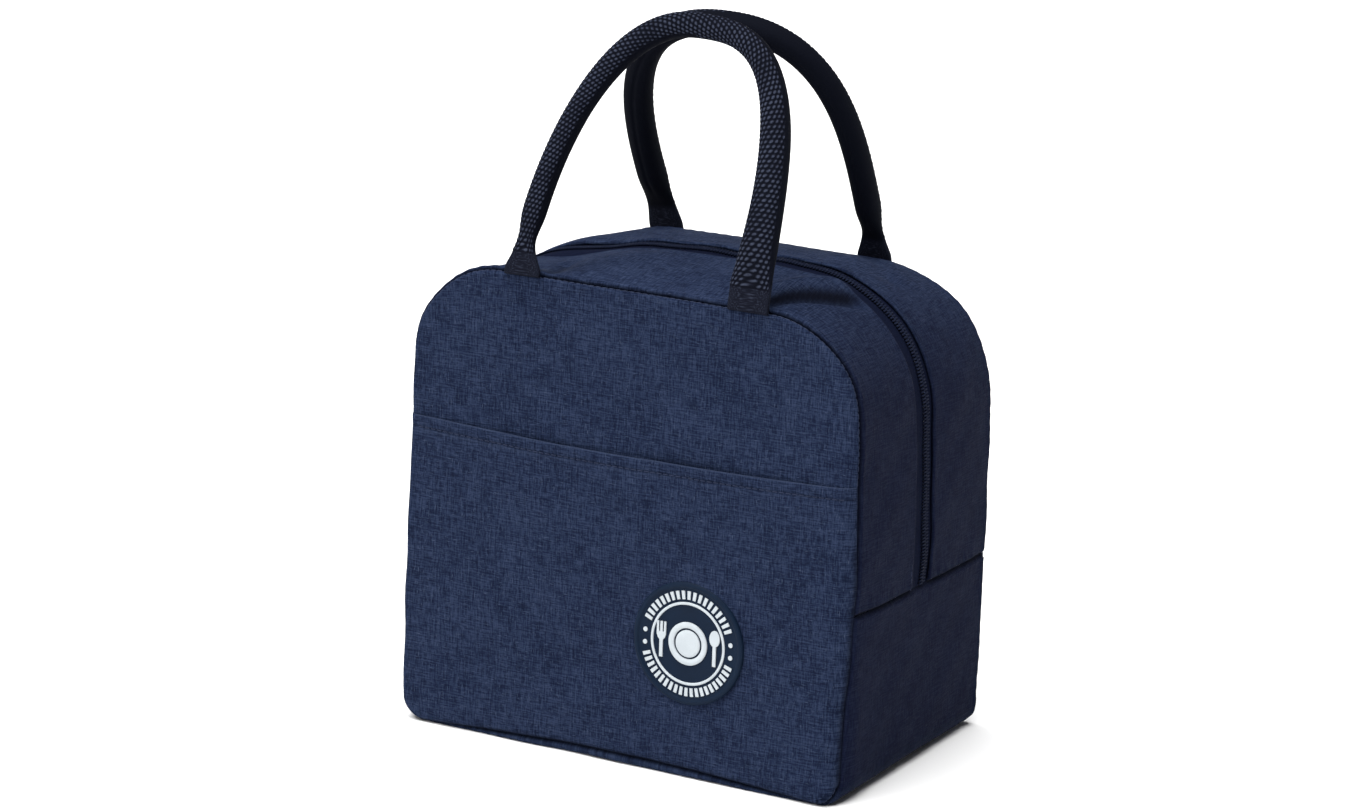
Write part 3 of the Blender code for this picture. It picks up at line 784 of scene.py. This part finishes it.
def pocket_row(z):
    """Places across the pocket at a height, closer together towards both side seams."""
    left, right = (sewn_bounds(z, sign) for sign in (-1, 1))
    middle = np.linspace(POCKET_RIM - left, right - POCKET_RIM, 100)[1:-1]
    rim = POCKET_RIM * EDGE_STEPS
    return np.concatenate([rim - left, middle, right - rim[::-1]])


def make_pocket():
    """Pocket sheet: foot rows, low rows, high rows up to the mouth, then the rolled hem."""
    rows = [("foot", POCKET_FOOT * share, share) for share in EDGE_STEPS]
    rows += [("low", z, 0) for z in np.linspace(13.0, POCKET_SPLIT, 46)]
    rows += [("high", POCKET_SPLIT, share) for share in np.linspace(0, 0.84, 16)[1:]]
    rows += [("high", POCKET_SPLIT, share) for share in np.linspace(0.85, 1, 26)]
    rows += [("hem", POCKET_SPLIT, place) for place in HEM_ROLL]
    points, uvs, shade, wear_and_highlight = [], [], [], []
    for kind, start, value in rows:
        x = pocket_row(start)
        z, extra, mouth = start + 0 * x, 0.0, pocket_top(x)
        if kind == "foot":
            foot = sewn_foot(x)
            z = np.maximum(z, foot + (POCKET_FOOT - foot) * value)
        elif kind == "high":
            z = POCKET_SPLIT + (mouth - HEM_BEND - POCKET_SPLIT) * value
        elif kind == "hem":
            z, extra = mouth - HEM_BEND + value[0], value[1]
        below = mouth - z
        hem = 0.45 * bell(below, HEM_STITCH, 0.55) - 0.3 * eased(below, 4.4, -2.0)
        points.append(xyz(x, pocket_point(x, z, pocket_slack(x, z) + extra - hem), z))
        uvs.append(np.stack([x, z - extra], axis=1))
        # Painted shade in the seams, along the hem stitches and on the tucked part of the hem.
        dark = np.maximum(seam_shade(panel_depth(x, z)[1]), 0.45 * bell(below, HEM_STITCH, 0.6))
        shade.append(np.maximum(dark, 0.9 * (extra < -1.0)))
        # Painted highlight: a lit line under the hem stitches, stronger to the left, and the lit top edge
        # of the hem.
        lit = 0.3 * bell(below, 6.4, 0.6) * (0.5 - 0.5 * x / HALF_W)
        wear_and_highlight.append(np.maximum(lit, 0.55 * bell(below, -0.3, 0.55) * (extra > -1.0)))
    faces = grid_faces(len(rows), len(x)).tolist()
    pocket = make_piece("pocket_cloth", soften(np.concatenate(points)), faces, CLOTH,
                        np.concatenate(uvs), attributes={"Shade": shade, "PaintedHighlight": wear_and_highlight})
    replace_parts(pocket, "pocket_panel_lower", "pocket_panel_upper", "pocket_hem")
    fold(pocket, "front_top")


# ---- Many small rods: stitches and zip teeth

def rods(name, centres, along, up, length, radius, material, slot, squash=1.0):
    """Round-ended rods, each centred on a point and lying in a direction."""
    sides = 6
    angle = np.arange(sides) * math.tau / sides
    rings = ((-0.5, 0.45), (-0.38, 0.95), (0.38, 0.95), (0.5, 0.45))
    shape = np.array([(t * length, r * radius * math.cos(a), r * radius * squash * math.sin(a))
                      for t, r in rings for a in angle])
    along = along / np.linalg.norm(along, axis=1, keepdims=True)
    side = np.cross(up, along)
    side /= np.linalg.norm(side, axis=1, keepdims=True)
    up = np.cross(along, side)
    points = (centres[:, None] + shape[None, :, 0, None] * along[:, None]
              + shape[None, :, 1, None] * side[:, None] + shape[None, :, 2, None] * up[:, None])
    template = [[r * sides + i, r * sides + (i + 1) % sides, (r + 1) * sides + (i + 1) % sides,
                 (r + 1) * sides + i] for r in range(3) for i in range(sides)]
    template += [list(range(sides))[::-1], [3 * sides + i for i in range(sides)]]
    faces = [[k * len(shape) + i for i in f] for k in range(len(centres)) for f in template]
    return make_piece(name, points.reshape(-1, 3), faces, material)


def even_stations(stations, y, spacing, start):
    """Chain stations at an even spacing along the outline."""
    _, _, length = outline(stations, y)
    marks = np.arange(start, length[-1], spacing)
    return np.stack([np.interp(marks, length, stations[:, i]) for i in range(8)], axis=1)


def zip_rods(name, y, size, radius, inset, spacing, start, look, lengthwise, body):
    """A row of teeth or stitches along the zip at depth y."""
    stations = even_stations(UPPER, y, spacing, start)
    line, up, _ = outline(stations, y)
    line = line - up * inset
    centres = soften(xyz(line[:, 0], y, line[:, 1]))
    along = np.gradient(centres, axis=0) if lengthwise else np.tile((0.0, 1.0, 0.0), (len(line), 1))
    piece = rods(name, centres, along, xyz(up[:, 0], 0.0, up[:, 1]), size, radius, *look)
    fold(piece, body)
    return piece


def make_zip(prefix, side, body):
    lip = FRONT_LIP if side < 0 else REAR_LIP
    middle = ZIP_MIDDLE
    places = [(lip + side * 4.4, 1.9), (lip + side * 1.0, 1.75), (lip, 1.65)]
    places += [(lip + (middle + side * 3.0 - lip) * t, 1.6 - 0.25 * t) for t in (0.25, 0.5, 0.75, 1.0)]
    places += [(middle + side * 2.4, 1.2), (middle + side * 1.4, 1.25), (middle + side * 0.6, 1.7)]
    rows = [(y, inset, FAR, y) for y, inset in places]
    points, faces, uv, _ = strip_surface(UPPER, rows, side_seams=False)
    tape = make_piece(prefix + "_tape", points, faces, TAPE, uv, flip=side > 0)
    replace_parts(tape, prefix + "_zip_tape")
    fold(tape, body)
    start = 1.0 if side < 0 else 1.75
    teeth = zip_rods(prefix + "_teeth", middle + side * 1.1, 3.3, 0.55, 0.5, 1.5, start,
                     (COIL, "zip_coil"), False, body)
    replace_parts(teeth, prefix + "_zip_coil")
    zip_rods(prefix + "_zip_stitches", lip + side * 2.0, 2.4, 0.26, 0.06, 3.2, 2.0,
             (THREAD, "cloth"), True, body)


def make_wall_stitches(name, side, body):
    """Short stitches that show inside the seam of a front or back panel."""
    stations = even_stations(RING, side * HALF_D, 3.3, 1.0)
    points, normals, _ = outline(stations, side * HALF_D)
    radius, seam = edge_shape(points, normals, side)
    turn = positive(seam - 1.0 / radius)
    sin, cos = np.sin(turn), np.cos(turn)
    inset = radius * (1 - sin) + positive(1.0 - radius * seam) + 0.35 * sin
    depth = side * (HALF_D - radius * (1 - cos) - 0.35 * cos)
    flat = outline(stations, depth)[0] - normals * inset[:, None]
    centres = soften(xyz(flat[:, 0], depth, flat[:, 1]))
    up = xyz(normals[:, 0] * sin, side * cos, normals[:, 1] * sin)
    piece = rods(name, centres, np.gradient(centres, axis=0), up, 2.3, 0.24, THREAD, "cloth")
    fold(piece, body)


# ---- Lining

def make_lining(name, points, faces, uv, nodes, body, flip):
    piece = make_piece(name, points, faces, FOIL, uv, flip=flip)
    thick = piece.modifiers.new("Foam", "SOLIDIFY")
    thick.thickness = 2.2 * MM
    thick.offset = 1.0
    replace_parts(piece, *nodes)
    fold(piece, body)


LINING_DEEP, LINING_WALL, LINING_MOUTH = 4.8, 6.5, 13.5


def lining_panel(side):
    """Foam-backed foil behind the front or back panel, with a rolled rim."""
    face = side * (HALF_D - LINING_DEEP)
    rows = []
    for inset in (LINING_DEEP, 5.6, 7.0, 8.6, 10.4):
        ring, normals, _ = outline(RING[::2], face)
        ring = ring - normals * inset
        bulge = -side * 2.4 * math.exp(-(inset - LINING_DEEP) / 1.6)
        rows.append(xyz(ring[:, 0], face + bulge, ring[:, 1]))
    rows += towards(rows[-1], np.array([0.0, face, FRONT_TOP * 0.5]), LINING_RINGS)
    points = np.concatenate(rows)
    return soften(points), disc_faces(len(rows) - 1, len(rows[0])), points[:, [0, 2]]


def make_linings():
    for side, prefix, body in ((-1, "front", "front_top"), (1, "back", "rear_top")):
        points, faces, uv = lining_panel(side)
        make_lining(prefix + "_lining", points, faces, uv,
                    [prefix + "_insulation_lower", prefix + "_insulation_upper"], body, side < 0)
    wall = HALF_D - LINING_WALL
    rows = [(y, 4.5, FAR, y) for y in np.linspace(-wall, wall, 36)]
    points, faces, uv, _ = strip_surface(LOWER[::2], rows, side_seams=False)
    make_lining("base_lining", points, faces, uv, ["base_insulation"], "base", True)
    for prefix, side, body in HALVES:
        rows = [(side * y, 4.5, FAR, side * y) for y in np.linspace(wall, LINING_MOUTH, 18)]
        rows += [(side * 12.6, 3.9, FAR, side * 12.6), (side * 12.2, 2.9, FAR, side * 12.2)]
        points, faces, uv, _ = strip_surface(UPPER[::2], rows, side_seams=False)
        make_lining(prefix + "_gusset_lining", points, faces, uv,
                    [prefix + "_gusset_insulation"], body, side < 0)


# ---- Handles
# Each loop is drawn in its own leaning plane: x across and h up from the hinge. A limb rises
# from its sewn foot to a shoulder and rounds over to the crown; it is widest at the foot.

Limb = namedtuple("Limb", "foot_x shoulder_x shoulder_h round_x round_h "
                          "foot_wide fade_from fade waist grip")
HANDLES = {
    "front": {"crown": (1.5, 117.5), "crown_wide": 5.6,
              "left": Limb(-55.0, -55.2, 8, 2.1, 2.1, 8.8, 0, 6, 1.3, 5.0),
              "right": Limb(56.0, 56.0, 0, 3.05, 3.05, 9.8, 9, 32, 0, 6.3)},
    "rear": {"crown": (-5.0, 116.8), "crown_wide": 5.8,
             "left": Limb(-57.6, -61.9, 42, 2.4, 2.4, 8.9, 0, 8, 0.3, 6.9),
             "right": Limb(48.8, 48.8, 10, 2.35, 3.7, 8.5, 0, 6, 1.1, 5.8)}}
FOOT_H = -4.0
HANDLE_LEAN = math.radians(25.0)
LOOP_STATIONS, LOOP_AROUND = 820, 80
FOOT_HEIGHTS, FOOT_TUCKS = (-4, 0, 4, 8, 12), (3.2, 2.1, 1.2, 0.4, 0.0)
KNOT_LONG, KNOT_WIDE, KNOT_HIGH = 2.15, 1.95, 0.34
WEBBING_WIDE = 37.0


def limb_line(limb, crown):
    """Points of one limb, from its foot up to the crown."""
    rise = np.linspace(0, 1, 9)
    swell = xyz(limb.foot_x + (limb.shoulder_x - limb.foot_x) * np.sin(rise * math.pi / 2),
                FOOT_H + (limb.shoulder_h - FOOT_H) * rise, 0.0)
    turn = np.linspace(0, math.pi / 2, 60)[1:]
    cos, sin = np.clip(np.cos(turn), 0, 1), np.sin(turn)
    arc = xyz(crown[0] + (limb.shoulder_x - crown[0]) * cos ** (2 / limb.round_x),
              limb.shoulder_h + (crown[1] - limb.shoulder_h) * sin ** (2 / limb.round_h), 0.0)
    return np.concatenate([swell, arc])[:, :2]


def limb_width(limb, crown_wide, h):
    """Half width of the webbing at height h: foot, narrow waist, grip, then crown."""
    fade = np.exp(-positive(h - limb.fade_from) / limb.fade)
    wide = limb.grip + (limb.foot_wide - limb.grip) * fade - limb.waist * bell(h, 13, 7.0)
    return wide + (crown_wide - wide) * eased(h, 70, 45.0)


def blurred(values, passes=3, width=15):
    """Moving average that keeps both ends in place."""
    kernel = np.ones(width) / width
    half = width // 2
    for _ in range(passes):
        head = 2 * values[0] - values[half:0:-1]
        tail = 2 * values[-1] - values[-2:-half - 2:-1]
        values = np.convolve(np.concatenate([head, values, tail]), kernel, mode="valid")
    return values


def even_line(points, count):
    """Evenly spaced smooth line near the given points."""
    for _ in range(2):
        step = np.hypot(*np.diff(points, axis=0).T)
        length = np.concatenate([[0], np.cumsum(step)])
        marks = np.linspace(0, length[-1], count)
        points = np.stack([blurred(np.interp(marks, length, points[:, i])) for i in range(2)], axis=1)
    return points[:, 0], points[:, 1], marks


def loop_line(shape):
    """Columns along a loop: x, h, length, outward direction and half width."""
    limbs = shape["left"], shape["right"]
    left_line, right_line = (limb_line(limb, shape["crown"]) for limb in limbs)
    x, h, marks = even_line(np.concatenate([left_line, right_line[-2::-1]]), LOOP_STATIONS)
    dx, dh = np.gradient(x), np.gradient(h)
    scale = np.hypot(dx, dh)
    left, right = (limb_width(limb, shape["crown_wide"], h) for limb in limbs)
    wide = blurred(np.where(np.arange(LOOP_STATIONS) < LOOP_STATIONS / 2, left, right), 2, 9)
    return (column[:, None] for column in (x, h, marks, -dh / scale, dx / scale, wide))


def knots(u, v):
    """Height of the woven knots, 0 to 1, in staggered slanting rows."""
    row = np.floor(u)
    a = u - row - 0.5
    b = v + 0.5 * (row % 2)
    b = b - np.floor(b) - 0.5
    return np.sqrt(np.clip(1 - 3.6 * (a * a + b * b - 0.75 * a * b), 0, 1))


def make_handle(prefix, side, body):
    """Folded webbing: flat at its sewn feet, round at the grip, woven on its front."""
    hinge = np.array(JOINTS[prefix + "_handle_swing"]["pos_m"]) / MM
    hinge[0] = 0
    rise = np.array([0, -side * math.sin(HANDLE_LEAN), math.cos(HANDLE_LEAN)])
    face = np.array([0, side * math.cos(HANDLE_LEAN), math.sin(HANDLE_LEAN)])
    x, h, marks, out_x, out_h, wide = loop_line(HANDLES[prefix])
    angle = np.arange(LOOP_AROUND)[None] * math.tau / LOOP_AROUND
    cos, sin = np.cos(angle), np.sin(angle)
    u, v = np.broadcast_arrays(marks / KNOT_LONG, angle * WEBBING_WIDE / math.tau / KNOT_WIDE)
    knot = knots(u, v)
    from_face = np.degrees(np.arctan2(np.abs(cos), sin))
    woven_to = np.where(cos * out_x > 0, 58.0, 82.0)
    woven = eased(woven_to - from_face, -4.5, 9.0) * eased(h, 5.8, 1.6)
    foot = np.broadcast_to(eased(h, 11, -4.0), woven.shape)
    slit = 0.5 * bell(angle, 1.5 * math.pi, 0.09) * eased(h, 12, 12.0)
    lump = KNOT_HIGH * knot * woven + 0.04 * knot - slit - 0.15
    power = 0.87 - 0.42 * eased(h, 20.0, -16.0)
    across = (wide + lump) * np.sign(cos) * np.abs(cos) ** power
    through = (1.7 + 4.1 * eased(h, 7, 20.0) + lump) * np.sign(sin) * np.abs(sin) ** power
    points = hinge + (h + out_h * across)[..., None] * rise + through[..., None] * face
    points[..., 0] += x + out_x * across
    points[..., 1] -= side * np.interp(h, FOOT_HEIGHTS, FOOT_TUCKS)
    faces = grid_faces(LOOP_STATIONS, LOOP_AROUND, wrap=True).tolist()
    ring = list(range(LOOP_AROUND))
    faces += [ring[::-1], [(LOOP_STATIONS - 1) * LOOP_AROUND + i for i in ring]]
    piece = make_piece(prefix + "_handle_cover", points.reshape(-1, 3), faces, WEBBING,
                       np.stack([u, v], axis=-1).reshape(-1, 2), flip=side > 0,
                       attributes={"Woven": woven, "Foot": foot})
    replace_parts(piece, prefix + "_handle_webbing", prefix + "_handle_core",
                prefix + "_handle_tab_left", prefix + "_handle_tab_right")
    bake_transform(piece)


# ---- Badge

def badge_plane():
    """Depth of the pocket cloth under the badge."""
    ring = np.linspace(0, math.tau, 40)
    x = BADGE_X + BADGE_R * 0.9 * np.cos(ring)
    z = BADGE_Z + BADGE_R * 0.9 * np.sin(ring)
    points = xyz(x, pocket_point(x, z, pocket_slack(x, z)), z)
    return float(np.median(soften(points)[:, 1])) + 0.35


def turned(name, profile_points, material, steps=128):
    """A shape turned about the badge's centre from (radius, height) points."""
    face = badge_plane()
    angle = np.arange(steps) * math.tau / steps
    rows = [xyz(BADGE_X + BADGE_NARROW * radius * np.cos(angle), face - height,
                BADGE_Z + radius * np.sin(angle)) for radius, height in profile_points]
    points = np.concatenate(rows)
    faces = grid_faces(len(rows), steps, wrap=True).tolist()
    if profile_points[-1][0] < 1.0:
        faces.append([(len(rows) - 1) * steps + i for i in range(steps)])
    piece = make_piece(name, points, faces, material)
    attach(piece, "base")
    return piece


def raised_shape(name, loops, base, height, rounding):
    """A flat artwork shape standing on the badge, with softened edges."""
    curve = bpy.data.curves.new(name, "CURVE")
    curve.dimensions = "2D"
    curve.fill_mode = "BOTH"
    curve.extrude = height / 2 * MM
    curve.bevel_depth = rounding * MM
    curve.bevel_resolution = 2
    for loop in loops:
        spline = curve.splines.new("POLY")
        spline.points.add(len(loop) - 1)
        for point, (x, z) in zip(spline.points, loop):
            point.co = (BADGE_NARROW * x * MM, z * MM, 0, 1)
        spline.use_cyclic_u = True
    shape = link(bpy.data.objects.new(name, curve))
    shape.rotation_euler = (math.radians(90), 0, 0)
    shape.location = (BADGE_X * MM, (badge_plane() - base) * MM, BADGE_Z * MM)
    curve.materials.append(WHITE)
    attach(shape, "base")
    return shape


def oval(cx, cz, rx, rz, count=28, start=0, end=360):
    angle = np.radians(np.linspace(start, end, count, endpoint=end - start < 360))
    return [(cx + rx * math.cos(a), cz + rz * math.sin(a)) for a in angle]


def fork_loop(x):
    half = [(0.7, -8.0), (0.7, -0.2), (1.6, 0.7), (2.2, 2.2), (2.2, 8.0), (1.5, 8.0), (1.4, 3.2),
            (0.45, 3.2), (0.42, 8.0)]
    right = [(x + a, b) for a, b in half]
    return right + [(2 * x - px, pz) for px, pz in right[::-1]]


def spoon_loop(x):
    bowl = oval(x, 4.5, 2.5, 3.6, 22, -74, 254)
    return [(x - 0.7, -8.0), (x + 0.7, -8.0)] + bowl


def arc_points(x, z, radius, angles):
    return [(x + radius * math.cos(t), z + radius * math.sin(t)) for t in angles]


def dash_loops():
    """Two arcs of short marks between dots, in place of any lettering."""
    loops, half = [], 0.030
    for start, end, count in ((24, 156, 19), (200, 340, 21)):
        for middle in np.radians(np.linspace(start, end, count)):
            ends = (middle - half, middle, middle + half)
            loops.append(arc_points(0, 0, 23.9, ends) + arc_points(0, 0, 20.3, ends[::-1]))
    circle = np.linspace(0, math.tau, 16, endpoint=False)
    for middle in np.radians((8, 172, 187, 353)):
        loops.append(arc_points(22.0 * math.cos(middle), 22.0 * math.sin(middle), 0.95, circle))
    return loops


def make_badge():
    """Rubber disc with raised white ring, marks, plate, fork and spoon."""
    edge = ((-0.6, -0.8), (0, 0.1), (0, 0.9), (-0.35, 1.55), (-0.9, 1.9), (-1.7, 2.0), (-2.3, 1.85),
            (-2.6, 1.45), (-3.0, 1.3))
    flat = ((23.0, 1.3), (19.8, 1.3), (17.4, 1.3), (16.9, 1.15), (16.4, 1.1), (6.0, 1.1), (0.5, 1.1))
    disc = turned("badge_disc_moulded", [(BADGE_R + r, h) for r, h in edge] + list(flat),
                  RUBBER)
    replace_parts(disc, "badge_disc", "badge_rim")
    band = ((18.9, 1.2), (18.9, 1.6), (18.7, 1.75), (17.9, 1.75), (17.7, 1.6), (17.7, 1.2))
    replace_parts(turned("badge_white_ring", band, WHITE), "badge_ring")
    raised_shape("badge_marks", dash_loops(), 1.45, 0.35, 0.12)
    rim = ((9.8, 1.0), (9.8, 1.6), (9.5, 1.85), (7.5, 1.75), (7.1, 1.5), (7.0, 1.0))
    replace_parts(turned("badge_plate_rim", rim, WHITE), "badge_plate")
    centre = ((6.2, 1.0), (6.2, 1.5), (5.9, 1.7), (4.5, 1.75), (0.5, 1.75))
    turned("badge_plate_centre", centre, WHITE)
    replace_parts(raised_shape("badge_fork_raised", [fork_loop(-13.6)], 1.35, 0.45, 0.14), "badge_fork")
    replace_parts(raised_shape("badge_spoon_raised", [spoon_loop(13.6)], 1.35, 0.45, 0.14), "badge_spoon")


def make_pocket_stitches():
    x = np.arange(-HALF_W + 6, HALF_W - 6, 3.1)
    z = pocket_top(x) - HEM_STITCH
    y = pocket_point(x, z, pocket_slack(x, z) - 0.45) - 0.12
    centres = soften(xyz(x, y, z))
    along = np.gradient(centres, axis=0)
    up = np.tile((0.0, -1.0, 0.0), (len(x), 1))
    piece = rods("pocket_stitches", centres, along, up, 2.3, 0.25, THREAD, "cloth")
    fold(piece, "front_top")


# ---- Metal slider and puller: the CAD's own shapes with softened edges

def finish_metal():
    for name in ("zip_slider", "zip_puller"):
        node = frame["nodes"][name]
        node.data.materials.clear()
        node.data.materials.append(METAL)
        edge = node.modifiers.new("Soft edges", "BEVEL")
        edge.width = 0.18 * MM
        edge.segments = 2
        edge.limit_method = "ANGLE"


# ---- Floor, light

FLOOR_SIDES, FLOOR_RADIUS, FLOOR_BANK, FLOOR_TONE = 64, 12.0, 1.3, 0.86
SKY_STRENGTH = 0.08
# Each sun: name, direction towards it, spread in degrees, strength.
SUNS = (("overhead", (-0.10, -0.20, 1.0), 66, 6.5), ("front_key", (-0.75, -1.0, 0.2), 35, 1.2))


def make_stage():
    """Pale floor that turns up into a low bank far away, so that level views end in it."""
    turns = np.arange(FLOOR_SIDES) * math.tau / FLOOR_SIDES
    rings = ((FLOOR_RADIUS, 0), (FLOOR_RADIUS + FLOOR_BANK, FLOOR_BANK))
    mesh = bpy.data.meshes.new("floor")
    mesh.from_pydata([(r * math.cos(a), r * math.sin(a), z) for r, z in rings for a in turns], [],
                     [list(range(FLOOR_SIDES))] + grid_faces(2, FLOOR_SIDES, wrap=True).tolist())
    n = Nodes("floor_paint")
    n.set(color=(FLOOR_TONE, FLOOR_TONE, FLOOR_TONE, 1), rough=0.9, specular=0.1)
    mesh.materials.append(n.material)
    floor = link(bpy.data.objects.new("floor", mesh))
    world = bpy.data.worlds.new("studio")
    world.use_nodes = True
    sky = world.node_tree.nodes["Background"].inputs
    sky[0].default_value = (1, 1, 1, 1)
    sky[1].default_value = SKY_STRENGTH
    bpy.context.scene.world = world
    bpy.context.scene.view_settings.view_transform = "Standard"
    for name, toward, spread, strength in SUNS:
        sun(name, toward, spread, strength)


def sun(name, toward, spread, strength):
    """Wide, soft light from the direction of the given vector."""
    data = bpy.data.lights.new(name, "SUN")
    data.angle = math.radians(spread)
    data.energy = strength
    light = link(bpy.data.objects.new(name, data))
    light.rotation_euler = (-Vector(toward)).to_track_quat("-Z", "Y").to_euler()


make_stage()
padded_cloth("front_cloth", panel_surface(-1), ["front_panel_lower", "front_panel_upper"],
             "front_top")
padded_cloth("back_cloth", panel_surface(1), ["back_panel_lower", "back_panel_upper"],
             "rear_top", flip=True)
make_base()
for half in HALVES:
    make_gusset(*half)
make_pocket()
make_pocket_stitches()
for half in HALVES:
    make_zip(*half)
make_linings()
for half in HALVES:
    make_handle(*half)
make_wall_stitches("front_seam_stitches", -1, "front_top")
make_wall_stitches("back_seam_stitches", 1, "rear_top")
make_badge()
finish_metal()
